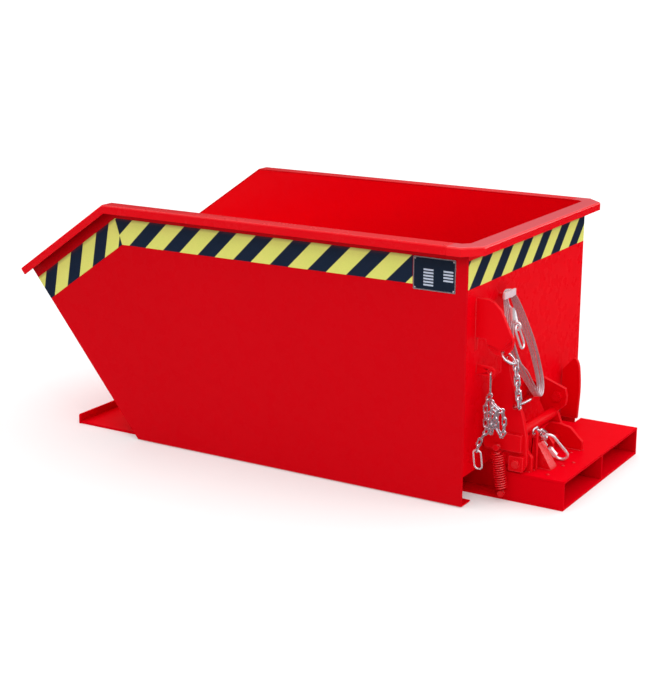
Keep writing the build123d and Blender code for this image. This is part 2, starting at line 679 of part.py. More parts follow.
# pressed ferrules, and the eye that holds the carabiner
fer_b = Vector(480, -141, 368)
fer_run = Vector(8.5, -3.0, -23.0).normalized()
EYE_B = 7.2
eye_b = fer_b + fer_run * (23.5 + EYE_B)
with BuildPart() as rope_end_fittings:
    with BuildSketch(Plane(origin=(487.5, -159, 354), z_dir=(-0.10, 0.06, 0.99))):
        Ellipse(4.6, 3.9)
    extrude(amount=24)
    with BuildSketch(Plane(origin=fer_b, z_dir=fer_run)):
        Ellipse(4.8, 4.0)
    extrude(amount=24)
    across = fer_run.cross(Vector(1, 0, 0)).normalized()
    with BuildSketch(Plane(origin=eye_b - fer_run * EYE_B, x_dir=fer_run, z_dir=across.cross(fer_run))):
        Circle(2.5)
    revolve(axis=Axis(tuple(eye_b), tuple(across)), revolution_arc=360)
rope_end_fittings.part.label = "rope_end_fittings"
export_step(rope_end_fittings.part, "parts/rope_end_fittings.step")

# carabiner that hangs in the eye
EL_HALF, EL_R = 17.0, 9.0
el_top = eye_b - fer_run * 0.9 + Vector(0, -3.0, 0)
el_run = Vector(7.0, 21.0, -47.0).normalized()
EL = Plane(origin=el_top + el_run * (EL_HALF + EL_R), x_dir=el_run, z_dir=el_run.cross(across))
with BuildPart() as rope_end_link:
    with BuildLine(EL) as el_path:
        q1 = Line((-EL_HALF, -EL_R), (EL_HALF, -EL_R))
        q2 = ThreePointArc((EL_HALF, -EL_R), (EL_HALF + EL_R, 0), (EL_HALF, EL_R))
        q3 = Line((EL_HALF, EL_R), (-EL_HALF, EL_R))
        ThreePointArc((-EL_HALF, EL_R), (-EL_HALF - EL_R, 0), (-EL_HALF, -EL_R))
    with BuildSketch(Plane(origin=EL.from_local_coords((-EL_HALF, -EL_R, 0)), x_dir=EL.z_dir, z_dir=EL.x_dir)):
        Circle(2.4)
    sweep(path=el_path.wire())
rope_end_link.part.label = "rope_end_link"
export_step(rope_end_link.part, "parts/rope_end_link.step")
print("carabiner", tuple(round(v, 3) for v in EL.origin), tuple(round(v, 4) for v in EL.x_dir), tuple(round(v, 4) for v in EL.z_dir))
print("eye", tuple(round(v, 3) for v in eye_b), tuple(round(v, 4) for v in fer_run), tuple(round(v, 4) for v in across))

# ------------------------------------------------------------ hanging chain
HANG = 0.75               # size of its links
chain_route = [(480.5, -236, 239), (480.5, -236, 221), (470.4, -234.8, 203.7), (472.8, -236.7, 153.3),
               (485.8, -235.7, 144.1), (486.1, -240, 215.6), (498, -238.8, 214.7), (500.2, -244.6, 154.3),
               (510.2, -244, 145.6), (516.5, -245.2, 155.1), (515.9, -247.2, 194.1), (508.2, -249.6, 201.8),
               (499.4, -254.4, 194.1), (505.6, -254.4, 155.3), (491.6, -256, 155.9), (488.8, -256.1, 173),
               (491.2, -261.9, 201.6), (501.5, -262.1, 209.3), (511.9, -264.1, 195.2), (474, -266.4, 134.3),
               (469.9, -265.7, 112.6), (472, -256.6, 94.5)]
hang_joints = chain_joints(chain_route, HANG)
if len(hang_joints) % 2:
    hang_joints = hang_joints[:-1]
chain_places = link_places(hang_joints)[1:]
print("hanging chain links", len(chain_places), tuple(round(v, 2) for v in hang_joints[1]))
# long wire link from the wall eye down to the first small link
LONG_R, LONG_TOP, LONG_LOW = 5.0, 266.0, hang_joints[1].Z
LONG_LEG = (LONG_TOP - LONG_LOW) / 2 - LONG_R
LONG_PLANE = Plane(origin=(480.3, -236, (LONG_TOP + LONG_LOW) / 2), x_dir=(0, 0, -1), z_dir=(0.954, 0.3, 0))
with BuildPart() as long_link:
    with BuildLine(LONG_PLANE) as long_path:
        Line((-LONG_LEG, -LONG_R), (LONG_LEG, -LONG_R))
        ThreePointArc((LONG_LEG, -LONG_R), (LONG_LEG + LONG_R, 0), (LONG_LEG, LONG_R))
        Line((LONG_LEG, LONG_R), (-LONG_LEG, LONG_R))
        ThreePointArc((-LONG_LEG, LONG_R), (-LONG_LEG - LONG_R, 0), (-LONG_LEG, -LONG_R))
    with BuildSketch(Plane(origin=LONG_PLANE.from_local_coords((0, -LONG_R, 0)), x_dir=LONG_PLANE.z_dir, z_dir=LONG_PLANE.x_dir)):
        Circle(1.5)
    sweep(path=long_path.wire())
with BuildPart() as hanging_chain:
    add(long_link.part)
    with Locations(*chain_places):
        add(chain_link.part.scale(HANG))
hanging_chain.part.label = "hanging_chain"
export_step(hanging_chain.part, "parts/hanging_chain.step")

# snap hook on the chain's end: rod body with one open side, closed by the gate
SH_ROD = 3.4
SH_HALF, SH_R = 12.0, 8.5
last_end = hang_joints[-1]
sh_run = Vector(0.02, 0.18, -0.98).normalized()
sh_mid = last_end + sh_run * (SH_HALF + SH_R - 5.2)
SH_PLANE = Plane(origin=sh_mid, x_dir=sh_run, z_dir=(0.05, 0.98, 0.181))
with BuildPart() as snap_hook_body:
    with BuildLine(SH_PLANE) as sh_path:
        s1 = Line((SH_HALF - 1.5, SH_R), (SH_HALF, SH_R))
        s2 = ThreePointArc(s1 @ 1, (SH_HALF + SH_R, 0), (SH_HALF, -SH_R))
        s3 = Line(s2 @ 1, (-SH_HALF, -SH_R))
        s4 = ThreePointArc(s3 @ 1, (-SH_HALF - SH_R, 0), (-SH_HALF, SH_R))
        Line(s4 @ 1, (-SH_HALF + 1.5, SH_R))
    with BuildSketch(Plane(origin=SH_PLANE.from_local_coords((SH_HALF - 1.5, SH_R, 0)), x_dir=SH_PLANE.z_dir, z_dir=SH_PLANE.x_dir)):
        Circle(SH_ROD / 2)
    sweep(path=sh_path.wire())
snap_hook_body.part.label = "snap_hook_body"
export_step(snap_hook_body.part, "parts/snap_hook_body.step")

with BuildPart() as snap_hook_gate:
    with BuildSketch(Plane(origin=SH_PLANE.from_local_coords((-SH_HALF + 2.1, SH_R, 0)), x_dir=SH_PLANE.z_dir, z_dir=SH_PLANE.x_dir)):
        Circle(1.7)
    extrude(amount=2 * SH_HALF - 4.2)
    fillet(snap_hook_gate.edges().filter_by(GeomType.CIRCLE), 1.2)
snap_hook_gate.part.label = "snap_hook_gate"
export_step(snap_hook_gate.part, "parts/snap_hook_gate.step")

# ============================================================ LATCH LEVER
with BuildPart() as latch_lever:
    with BuildSketch(at_y(Y_LEVER)) as lever_face:
        with BuildLine():
            Polyline((456, 98), (456, 178), (466, 240), (475, 252), (483, 258), (483, 297), (501, 297),
                     (502, 262), (511, 231), (532, 173), (541, 134), (543.4, 82), (506.6, 82), (506.6, 98), close=True)
        make_face()
        with Locations((LX, LZ)):
            Circle(18.4)
        fillet(lever_face.vertices().group_by(Axis.Y)[-1], 6.5)
        with Locations((LX, LZ)):
            Circle(SHAFT_R, mode=Mode.SUBTRACT)
        with Locations((492, 287), (515, 192)):
            Circle(5.0, mode=Mode.SUBTRACT)
    extrude(amount=LEVER_T)
latch_lever.part.label = "latch_lever"
export_step(latch_lever.part, "parts/latch_lever.step")

# bar on the lever's outer face that the spring pulls down at the front
with BuildPart() as spring_arm:
    with Locations((455, Y_LEVER - LEVER_T - 8, 104)):
        Box(79, 8, 34, align=(Align.MIN,) * 3)
    fillet(spring_arm.edges().filter_by(Axis.Y).sort_by(Axis.X)[:2], 6)
    with BuildSketch(at_y(Y_LEVER - LEVER_T - 8)):
        with Locations(SP_TOP):
            Circle(3.5)
    extrude(amount=14)
    with BuildSketch(at_y(Y_LEVER - LEVER_T - 22)):
        with Locations(SP_TOP):
            Circle(6.0)
    extrude(amount=2.5)
spring_arm.part.label = "spring_arm"
export_step(spring_arm.part, "parts/spring_arm.step")

with BuildPart() as pivot_boss:
    with BuildSketch(at_y(Y_LEVER - LEVER_T)):
        with Locations((LX, LZ)):
            RectangleRounded(30, 30, 2.5)
            Circle(SHAFT_R, mode=Mode.SUBTRACT)
    extrude(amount=10)
pivot_boss.part.label = "pivot_boss"
export_step(pivot_boss.part, "parts/pivot_boss.step")

with BuildPart() as pivot_shaft:
    with BuildSketch(at_y(24)):
        with Locations((LX, LZ)):
            Circle(SHAFT_R)
    extrude(amount=24 + 211)
    fillet(pivot_shaft.edges().filter_by(GeomType.CIRCLE), 1.6)
pivot_shaft.part.label = "pivot_shaft"
export_step(pivot_shaft.part, "parts/pivot_shaft.step")

with BuildPart() as cross_tube:
    with BuildSketch(at_y(Y_HOOK)):
        with Locations((510, 127)):
            Circle(11)
            Circle(8, mode=Mode.SUBTRACT)
    extrude(amount=Y_HOOK - Y_LEVER)
cross_tube.part.label = "cross_tube"
export_step(cross_tube.part, "parts/cross_tube.step")

# hook plate: its nose stands just behind the catch pin
with BuildPart() as hook_plate:
    with BuildSketch(at_y(Y_HOOK + 8)) as hook_face:
        with BuildLine():
            Polyline((508, 88), (502, 112), (492, 130), (483, 147), (480.5, 158), (480.5, 172), (473.4, 181),
                     (475, 193), (488, 199.5), (537.5, 181.5), (541, 166), (539, 147), (522, 132), (530, 110),
                     (541, 86), close=True)
        make_face()
        with Locations((LX, LZ)):
            Circle(18.4)
        with Locations((LX, LZ)):
            Circle(SHAFT_R, mode=Mode.SUBTRACT)
        with Locations((521, 164)):
            Circle(6.0, mode=Mode.SUBTRACT)
    extrude(amount=8)
hook_plate.part.label = "hook_plate"
export_step(hook_plate.part, "parts/hook_plate.step")

# shaft nut, and the bolt and nut in the hook plate
with BuildPart() as lever_fasteners:
    with BuildSketch(at_y(20.5)):
        with Locations((LX, LZ)):
            RegularPolygon(13.8, 6)
            Circle(SHAFT_R, mode=Mode.SUBTRACT)
    extrude(amount=10)
    with BuildSketch(at_y(24)):
        with Locations((521, 164)):
            Circle(6.0)
    extrude(amount=24 - Y_HOOK)
    with BuildSketch(at_y(Y_HOOK)):
        with Locations((521, 164)):
            RegularPolygon(10.9, 6)
    extrude(amount=7.5)
    with BuildSketch(at_y(Y_HOOK + 18)):
        with Locations((521, 164)):
            RegularPolygon(10.9, 6)
    extrude(amount=9.6)
lever_fasteners.part.label = "lever_fasteners"
export_step(lever_fasteners.part, "parts/lever_fasteners.step")

# wire ring through the lever, at the lower end of the release chain
YC = Y_LEVER - LEVER_T / 2
RING_R, EYE_RING_R = 17.0, 10.5
ring_dir = Vector(0.85, 0, 0.53).normalized()
ring_mid = Vector(515, YC, 192) + ring_dir * RING_R
with BuildPart() as pull_ring:
    with BuildSketch(Plane(origin=(515, YC, 192), x_dir=ring_dir, z_dir=(0, 1, 0))):
        Circle(2.0)
    revolve(axis=Axis(tuple(ring_mid), (-ring_dir.Z, 0, ring_dir.X)), revolution_arc=360)
pull_ring.part.label = "pull_ring"
export_step(pull_ring.part, "parts/pull_ring.step")

# release chain: a ring in the lever's top eye, then links down to the pull ring
eye_dir = Vector(0.9, 0, -0.44).normalized()
eye_mid = Vector(492, YC, 287) + eye_dir * EYE_RING_R
rel_top = Vector(492, YC, 287) + eye_dir * (2 * EYE_RING_R)
rel_low = ring_mid - Vector(0, RING_R, 0)
rel_run = (rel_low - rel_top).normalized()
rel_a, rel_b = rel_top - rel_run * 3.1, rel_low + rel_run * 3.1
rel_pitch = (rel_b - rel_a).length / 6
print("release chain pitch", rel_pitch)
rel_flat = (Vector(0, 1, 0) - rel_run * rel_run.Y).normalized()
rel_places = [Location(Plane(origin=rel_a + rel_run * (rel_pitch * (i + 0.5)), x_dir=rel_run,
                             z_dir=rel_flat if i % 2 == 0 else rel_run.cross(rel_flat)))
              for i in range(6)]
with BuildPart() as release_chain:
    with BuildSketch(Plane(origin=(492, YC, 287), x_dir=eye_dir, z_dir=(0, 1, 0))):
        Circle(2.0)
    revolve(axis=Axis(tuple(eye_mid), (-eye_dir.Z, 0, eye_dir.X)), revolution_arc=360)
    with Locations(*rel_places):
        add(chain_link.part)
release_chain.part.label = "release_chain"
export_step(release_chain.part, "parts/release_chain.step")

# ------------------------------------------------------------ latch spring
SPR_WIRE = 2.6
SPR_R = 9.6
sp_a = Vector(SP_LOW[0], SPRING_Y, SP_LOW[1])
sp_b = Vector(SP_TOP[0], SPRING_Y, SP_TOP[1])
sp_run = (sp_b - sp_a).normalized()
sp_len = (sp_b - sp_a).length
EYE_R = 3.5 + 0.4 + SPR_WIRE / 2
BODY = sp_len - 2 * (EYE_R + 7.0)
TURNS = 15
SPR_PLANE = Plane(origin=sp_a + sp_run * (EYE_R + 7.0), x_dir=(0, -1, 0), z_dir=sp_run)
with BuildPart() as latch_spring:
    with BuildLine(SPR_PLANE) as coil:
        Helix(pitch=BODY / TURNS, height=BODY, radius=SPR_R)
    with BuildSketch(Plane(origin=coil.wire() @ 0, z_dir=coil.wire() % 0)):
        Circle(SPR_WIRE / 2)
    sweep(path=coil.wire(), is_frenet=True)
    for pin, way, end in ((sp_a, sp_run, coil.wire() @ 0), (sp_b, sp_run * -1, coil.wire() @ 1)):
        with BuildSketch(Plane(origin=pin + way * EYE_R, x_dir=way, z_dir=way.cross(Vector(0, 1, 0)))):
            Circle(SPR_WIRE / 2)
        revolve(axis=Axis(tuple(pin), (0, 1, 0)), revolution_arc=360)
        with BuildLine() as stem:
            Line(tuple(end), tuple(pin + way * EYE_R))
        with BuildSketch(Plane(origin=stem.wire() @ 0, z_dir=stem.wire() % 0)):
            Circle(SPR_WIRE / 2 - 0.02)
        sweep(path=stem.wire())
latch_spring.part.label = "latch_spring"
export_step(latch_spring.part, "parts/latch_spring.step")
print("spring body", round(BODY, 1), "of", round(sp_len, 1))
gate_pivot = SH_PLANE.from_local_coords((-SH_HALF + 2.1, SH_R, 0))
print("gate pivot", tuple(round(v / 1000, 6) for v in gate_pivot), "axis", tuple(-v for v in SH_PLANE.z_dir))
print("sleeve run", tuple(sl_run))
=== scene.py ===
import bpy
import bmesh
import math
import random
from mathutils import Matrix, Vector


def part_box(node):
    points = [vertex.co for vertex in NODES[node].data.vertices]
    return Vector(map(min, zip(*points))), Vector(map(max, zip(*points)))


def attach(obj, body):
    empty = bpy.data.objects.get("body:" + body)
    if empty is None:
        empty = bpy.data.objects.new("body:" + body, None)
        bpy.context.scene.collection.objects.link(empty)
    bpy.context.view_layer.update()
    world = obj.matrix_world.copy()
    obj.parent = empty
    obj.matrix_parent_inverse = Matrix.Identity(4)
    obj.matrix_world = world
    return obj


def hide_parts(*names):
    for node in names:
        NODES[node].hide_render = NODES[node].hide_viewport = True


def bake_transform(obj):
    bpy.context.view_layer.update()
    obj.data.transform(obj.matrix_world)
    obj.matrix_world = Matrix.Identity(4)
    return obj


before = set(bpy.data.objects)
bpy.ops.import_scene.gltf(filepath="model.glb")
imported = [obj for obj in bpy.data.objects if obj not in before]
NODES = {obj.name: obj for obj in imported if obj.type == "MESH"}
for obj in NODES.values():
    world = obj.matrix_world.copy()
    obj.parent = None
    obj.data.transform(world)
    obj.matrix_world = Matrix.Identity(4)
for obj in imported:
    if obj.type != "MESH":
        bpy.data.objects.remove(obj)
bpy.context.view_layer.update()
SCENE = bpy.context.scene
MM = 0.001


def mm(x, y, z):
    """A point given in millimetres, in metres."""
    return Vector((x, y, z)) * MM


# ------------------------------------------------------------------ camera
cam_data = bpy.data.cameras.new("photo_camera")
cam_data.sensor_fit = "AUTO"
cam_data.sensor_width = 36.0
cam_data.lens = 1558.1702 * 36.0 / 678.0
cam_data.clip_start = 0.05
cam_data.clip_end = 200.0
camera = bpy.data.objects.new("photo_camera", cam_data)
SCENE.collection.objects.link(camera)
cx = Vector((0.8569724, 0.51534319, 0.00443793))
cy = Vector((-0.13589564, 0.21765975, 0.96651777))
cz = Vector((0.4971224, -0.82888215, 0.25656129))
camera.matrix_world = Matrix((
    (cx.x, cy.x, cz.x, 1.689153),
    (cx.y, cy.y, cz.y, -2.850346),
    (cx.z, cy.z, cz.z, 1.091179),
    (0, 0, 0, 1)))
SCENE.camera = camera


# ------------------------------------------------------------------ shading tools
def lin(r, g, b):
    """A display colour, 0 to 255, as scene light."""
    out = []
    for c in (r, g, b):
        c /= 255.0
        out.append(c / 12.92 if c <= 0.04045 else ((c + 0.055) / 1.055) ** 2.4)
    return (*out, 1.0)


class Shade:
    """One procedural material, with its node tree in short calls."""

    def __init__(self, name):
        self.mat = bpy.data.materials.new(name)
        self.mat.use_nodes = True
        self.tree = self.mat.node_tree
        self.bsdf = next(n for n in self.tree.nodes if n.type == "BSDF_PRINCIPLED")
        self.place = self.tree.nodes.new("ShaderNodeTexCoord").outputs["Object"]

    def node(self, kind):
        return self.tree.nodes.new(kind)

    def link(self, a, b):
        self.tree.links.new(a, b)

    def put(self, socket, value):
        if isinstance(value, bpy.types.NodeSocket):
            self.link(value, socket)
        else:
            socket.default_value = value

    def set(self, **values):
        names = {"rough": "Roughness", "metal": "Metallic", "spec": "Specular IOR Level", "coat": "Coat Weight",
                 "coat_rough": "Coat Roughness", "color": "Base Color", "normal": "Normal", "aniso": "Anisotropic"}
        for k, v in values.items():
            self.put(self.bsdf.inputs[names[k]], v)
        return self

    def noise(self, scale, detail=2.0, rough=0.5, where=None, warp=0.0):
        n = self.node("ShaderNodeTexNoise")
        n.inputs["Scale"].default_value = scale
        n.inputs["Detail"].default_value = detail
        n.inputs["Roughness"].default_value = rough
        n.inputs["Distortion"].default_value = warp
        self.link(where or self.place, n.inputs["Vector"])
        return n.outputs["Fac"]

    def cells(self, scale, kind="F1", where=None):
        n = self.node("ShaderNodeTexVoronoi")
        n.feature = kind
        n.inputs["Scale"].default_value = scale
        self.link(where or self.place, n.inputs["Vector"])
        return n.outputs["Distance"]

    def calc(self, op, a, b=0.0, c=0.0, clamp=False):
        n = self.node("ShaderNodeMath")
        n.operation = op
        n.use_clamp = clamp
        for s, v in zip(n.inputs, (a, b, c)):
            self.put(s, v)
        return n.outputs[0]

    def span(self, v, lo, hi, to_lo, to_hi):
        n = self.node("ShaderNodeMapRange")
        n.clamp = True
        for k, x in (("Value", v), ("From Min", lo), ("From Max", hi), ("To Min", to_lo), ("To Max", to_hi)):
            self.put(n.inputs[k], x)
        return n.outputs["Result"]

    def mix(self, fac, a, b):
        n = self.node("ShaderNodeMix")
        n.data_type = "RGBA"
        self.put(n.inputs[0], fac)
        self.put(n.inputs[6], a)
        self.put(n.inputs[7], b)
        return n.outputs[2]

    def axes(self, where=None):
        n = self.node("ShaderNodeSeparateXYZ")
        self.link(where or self.place, n.inputs[0])
        return n.outputs[0], n.outputs[1], n.outputs[2]

    def below_rim(self):
        """Distance below the rim's upper edge, which is level and falls at 35 degrees in front."""
        x, y, z = self.axes()
        drop = self.calc("SUBTRACT", 0.520, z)
        fall = self.calc("ADD", self.calc("MULTIPLY", self.calc("ADD", x, 0.393), 0.574),
                         self.calc("MULTIPLY", drop, 0.819))
        return self.calc("MINIMUM", drop, fall)

    def stretched(self, x, y, z):
        n = self.node("ShaderNodeMapping")
        self.link(self.place, n.inputs["Vector"])
        n.inputs["Scale"].default_value = (x, y, z)
        return n.outputs["Vector"]

    def bump(self, height, strength, distance, under=None):
        n = self.node("ShaderNodeBump")
        n.inputs["Strength"].default_value = strength
        n.inputs["Distance"].default_value = distance
        self.link(height, n.inputs["Height"])
        if under is not None:
            self.link(under, n.inputs["Normal"])
        return n.outputs["Normal"]


# ------------------------------------------------------------------ materials
def paint(name, light, dark, rough=(0.24, 0.32), spec=0.1, coat=0.0, edge=None, top=None, painted_inside_shade=None,
          under=None):
    """Sprayed enamel: fine orange peel, slow changes of tone, a slightly uneven shine, and a painted highlight in the
    paler edge tone along edges.
    top is a painted light tone for level faces; the argument after it gives a darker tone painted as shade on the
    inside of the far wall, low down and towards the rear; under is the darker tone of the painted shade below the rim."""
    s = Shade(name)
    tone = s.span(s.noise(2.6, 2.0, 0.5), 0.30, 0.70, 0.0, 1.0)
    fine = s.span(s.noise(70.0, 4.0, 0.6), 0.35, 0.75, 0.0, 0.3)
    color = s.mix(tone, light, dark)
    color = s.mix(fine, color, dark)
    # Painted highlight: a paler tone along broken edges, varied by noise.
    if edge:
        near = s.node("ShaderNodeBevel")
        near.samples = 6
        near.inputs["Radius"].default_value = 0.0024
        here = s.node("ShaderNodeNewGeometry")
        turn = s.node("ShaderNodeVectorMath")
        turn.operation = "DOT_PRODUCT"
        s.link(near.outputs["Normal"], turn.inputs[0])
        s.link(here.outputs["True Normal"], turn.inputs[1])
        edge_highlight = s.span(turn.outputs["Value"], 0.86, 0.995, 0.75, 0.0)
        color = s.mix(s.calc("MULTIPLY", edge_highlight, s.span(s.noise(55.0, 3.0, 0.6), 0.3, 0.6, 0.5, 1.0)), color, edge)
    fx, fy, fz = s.axes(s.node("ShaderNodeTexCoord").outputs["Normal"])
    # Painted light: level faces get their own tone, a painted reflection or a painted lighter tone where more light
    # falls on them.
    if top:
        color = s.mix(s.span(fz, 0.90, 0.99, 0.0, 1.0), color, top)
    if under:
        # Painted shade: the wall is darkened in a band just below the rim, where the rim shades it.
        gap = s.below_rim()
        near = s.calc("MAXIMUM", s.span(gap, 0.010, 0.040, 0.8, 0.2), s.span(gap, 0.040, 0.090, 0.2, 0.0))
        color = s.mix(near, color, under)
    # Painted light and shade on the far wall: its inside face keeps the lighter tones given, its outside face gets a
    # plain red, and the inside is painted darker towards the bottom and the rear.
    if painted_inside_shade:
        x, y, z = s.axes()
        deep = s.calc("ADD", x, s.calc("MULTIPLY", s.calc("SUBTRACT", 0.52, z), 3.5))
        deep = s.calc("ADD", deep, s.calc("MULTIPLY", s.noise(5.0, 3.0, 0.5), 0.16))
        inside = s.span(fy, -0.6, -0.4, 1.0, 0.0)
        color = s.mix(inside, lin(224, 0, 16), color)
        color = s.mix(s.calc("MULTIPLY", inside, s.span(deep, 0.18, 0.93, 0.0, 1.0)), color, painted_inside_shade)
    normal = s.bump(s.noise(330.0, 1.5, 0.45), 0.06, 0.0004)
    s.set(color=color, normal=normal, spec=spec, coat=coat, coat_rough=0.2,
          rough=s.span(s.noise(28.0, 5.0, 0.6), 0.3, 0.7, rough[0], rough[1]))
    return s.mat


# The red enamel is given in lighter and darker copies per wall and part (sheet, near side, inside, rim, far side, rear
# rim, base): the differences in tone are painted light, for how brightly each face is lit.
RED_SHEET = paint("red_paint_sheet", lin(226, 0, 17), lin(222, 0, 15), spec=0.04)
# The near side is painted a darker red, and darker still in a band below the rim, as painted shade.
RED_SIDE = paint("red_paint_near_side", lin(220, 0, 17), lin(216, 0, 15), spec=0.04, under=lin(120, 0, 6))
RED_INSIDE = paint("red_paint_inside", lin(241, 0, 18), lin(236, 0, 16), spec=0.04)
RED_RIM = paint("red_paint_rim", lin(220, 0, 17), lin(214, 0, 15), rough=(0.22, 0.30), spec=0.12)
# The far wall's inside is painted lighter, and darker low down and towards the rear, as painted shade.
RED_FAR = paint("red_paint_far_side", lin(244, 0, 18), lin(239, 0, 16), spec=0.04, painted_inside_shade=lin(207, 0, 13))
# The rear rim's level top is painted pale pink, a painted reflection.
RED_RIM_REAR = paint("red_paint_rear_rim", lin(229, 0, 18), lin(225, 0, 16), rough=(0.20, 0.28), spec=0.12,
                     coat=0.5, top=lin(222, 58, 68))
# Small plates carry the painted highlight along their edges.
RED_PLATE = paint("red_paint_plate", lin(226, 0, 17), lin(219, 0, 14), rough=(0.28, 0.40), spec=0.04,
                  edge=lin(250, 62, 72))
# The base's level tops are painted a lighter red than its sides, as painted light.
RED_BASE = paint("red_paint_base", lin(215, 0, 18), lin(209, 0, 15), rough=(0.30, 0.42), spec=0.006,
                 top=lin(223, 0, 20))
RED_SHINE = paint("red_paint_shine", lin(226, 0, 17), lin(216, 0, 14), rough=(0.22, 0.34), spec=0.35)
RED_WELD = paint("red_paint_weld", lin(226, 0, 18), lin(212, 0, 14), rough=(0.24, 0.36), spec=0.3)
# The spring's red paint is given paler and pinker, a painted highlight on the coils.
RED_SPRING = paint("red_paint_spring", lin(236, 14, 30), lin(222, 4, 20), rough=(0.18, 0.28), spec=0.9)


def zinc(name, light, dark, rough, spangle=260.0, bump=0.12, metal=1.0):
    """Electro-galvanised steel: cloudy spangle and a slightly uneven shine."""
    s = Shade(name)
    cloud = s.noise(spangle, 4.0, 0.62)
    grain = s.cells(spangle * 2.2)
    mixed = s.calc("ADD", s.calc("MULTIPLY", cloud, 0.7), s.calc("MULTIPLY", grain, 0.45))
    s.set(metal=metal, color=s.mix(s.span(mixed, 0.3, 0.75, 0.0, 1.0), light, dark),
          rough=s.span(cloud, 0.3, 0.7, rough[0], rough[1]),
          normal=s.bump(mixed, bump, 0.0003))
    return s.mat


ZINC = zinc("galvanised_steel", lin(255, 250, 254), lin(206, 196, 208), (0.08, 0.20), metal=0.78)
ZINC_BRIGHT = zinc("bright_zinc", lin(255, 251, 254), lin(232, 226, 232), (0.10, 0.24), 180.0, 0.06, metal=0.5)


def hook_finish():
    """Red paint on the stem; the lip is painted pale pink with a slight metallic shine, a painted highlight."""
    s = Shade("hook_red_with_painted_highlight")
    x, y, z = s.axes()
    edge = s.calc("ADD", x, s.calc("MULTIPLY", s.noise(420.0, 3.0, 0.6), 0.0012))
    # Painted highlight: the lip, beyond a ragged line, is painted pale pink.
    lip = s.span(edge, 0.4742, 0.4748, 0.0, 1.0)
    cloud = s.noise(120.0, 4.0, 0.62)
    red = s.mix(s.noise(70.0, 4.0, 0.6), lin(226, 0, 17), lin(214, 0, 14))
    pale_tone = s.mix(s.span(cloud, 0.3, 0.7, 0.0, 1.0), lin(246, 224, 230), lin(230, 198, 208))
    s.set(color=s.mix(lip, red, pale_tone), metal=s.calc("MULTIPLY", lip, 0.25),
          rough=s.span(cloud, 0.3, 0.7, 0.30, 0.46), normal=s.bump(cloud, 0.08, 0.0003), spec=0.2)
    return s.mat


HOOK_PALE = hook_finish()
PIN = zinc("turned_steel", lin(214, 214, 216), lin(168, 168, 172), (0.18, 0.34), 420.0, 0.05)
BRONZE = zinc("bronze", lin(196, 148, 86), lin(150, 104, 54), (0.25, 0.45), 300.0, 0.08)


def rope_steel():
    s = Shade("wire_rope_steel")
    wires = s.noise(900.0, 2.0, 0.6)
    cloud = s.noise(60.0, 3.0, 0.6)
    color = s.mix(s.span(wires, 0.35, 0.65, 0.0, 1.0), lin(255, 250, 253), lin(198, 188, 198))
    color = s.mix(s.span(cloud, 0.35, 0.7, 0.0, 0.25), color, lin(160, 150, 160))
    s.set(metal=0.70, color=color, rough=s.span(wires, 0.3, 0.7, 0.20, 0.36), normal=s.bump(wires, 0.35, 0.0003))
    return s.mat


ROPE = rope_steel()


def rubber():
    s = Shade("black_rubber")
    n = s.noise(240.0, 5.0, 0.65)
    s.set(color=s.mix(n, lin(22, 22, 23), lin(44, 44, 45)), rough=s.span(n, 0.3, 0.7, 0.62, 0.85),
          normal=s.bump(n, 0.3, 0.0006))
    return s.mat


RUBBER = rubber()


def hazard(name, parts):
    """Reflective striped tape. parts gives the stripe coordinate in metres, its period, its start and an optional test."""
    s = Shade(name)
    x, y, z = s.axes()
    mask = None
    for coord, period, start, where in parts(s, x, y, z):
        phase = s.calc("FRACT", s.calc("DIVIDE", s.calc("SUBTRACT", coord, start), period))
        yellow = s.calc("MULTIPLY", s.span(phase, 0.0, 0.010, 0.0, 1.0), s.span(phase, 0.520, 0.530, 1.0, 0.0))
        if mask is None:
            mask = yellow
        else:
            n = s.node("ShaderNodeMix")
            s.put(n.inputs[0], where)
            s.put(n.inputs[2], mask)
            s.put(n.inputs[3], yellow)
            mask = n.outputs[0]
    cells = s.cells(420.0, "DISTANCE_TO_EDGE")
    glint = s.span(s.noise(650.0, 3.0, 0.7), 0.35, 0.7, 0.0, 1.0)
    soft = s.span(s.noise(22.0, 3.0, 0.6), 0.3, 0.7, 0.0, 1.0)
    yel = s.mix(glint, lin(226, 228, 112), lin(210, 216, 102))
    yel = s.mix(s.calc("MULTIPLY", soft, 0.5), yel, lin(231, 224, 116))
    blk = s.mix(glint, lin(14, 31, 54), lin(26, 42, 68))
    # Painted shadow: the top of the tape just below the rim's lip is darkened towards dark red.
    painted_rim_shadow = s.calc("MULTIPLY", s.span(s.below_rim(), 0.0300, 0.0390, 0.7, 0.0), s.span(soft, 0.0, 1.0, 0.8, 1.0))
    s.set(color=s.mix(painted_rim_shadow, s.mix(mask, blk, yel), lin(104, 14, 12)), rough=s.span(glint, 0.0, 1.0, 0.30, 0.46), spec=0.35,
          normal=s.bump(cells, 0.10, 0.0003))
    return s.mat


def side_stripes(s, x, y, z):
    level = s.calc("SUBTRACT", x, z)
    slope = s.calc("ADD", s.calc("MULTIPLY", s.calc("ADD", x, 0.393), -1.3924),
                   s.calc("MULTIPLY", s.calc("SUBTRACT", z, 0.520), 0.2474))
    seam = s.calc("ADD", -0.393, s.calc("MULTIPLY", s.calc("SUBTRACT", 0.520, z), 0.315))
    return [(level, 0.0889, -0.4695, None), (slope, 0.0885, 0.0408, s.calc("LESS_THAN", x, seam))]


def rear_stripes(s, x, y, z):
    return [(s.calc("SUBTRACT", y, z), 0.0957, -0.6660, None)]


TAPE_SIDE = hazard("hazard_tape_side", side_stripes)
TAPE_REAR = hazard("hazard_tape_rear", rear_stripes)


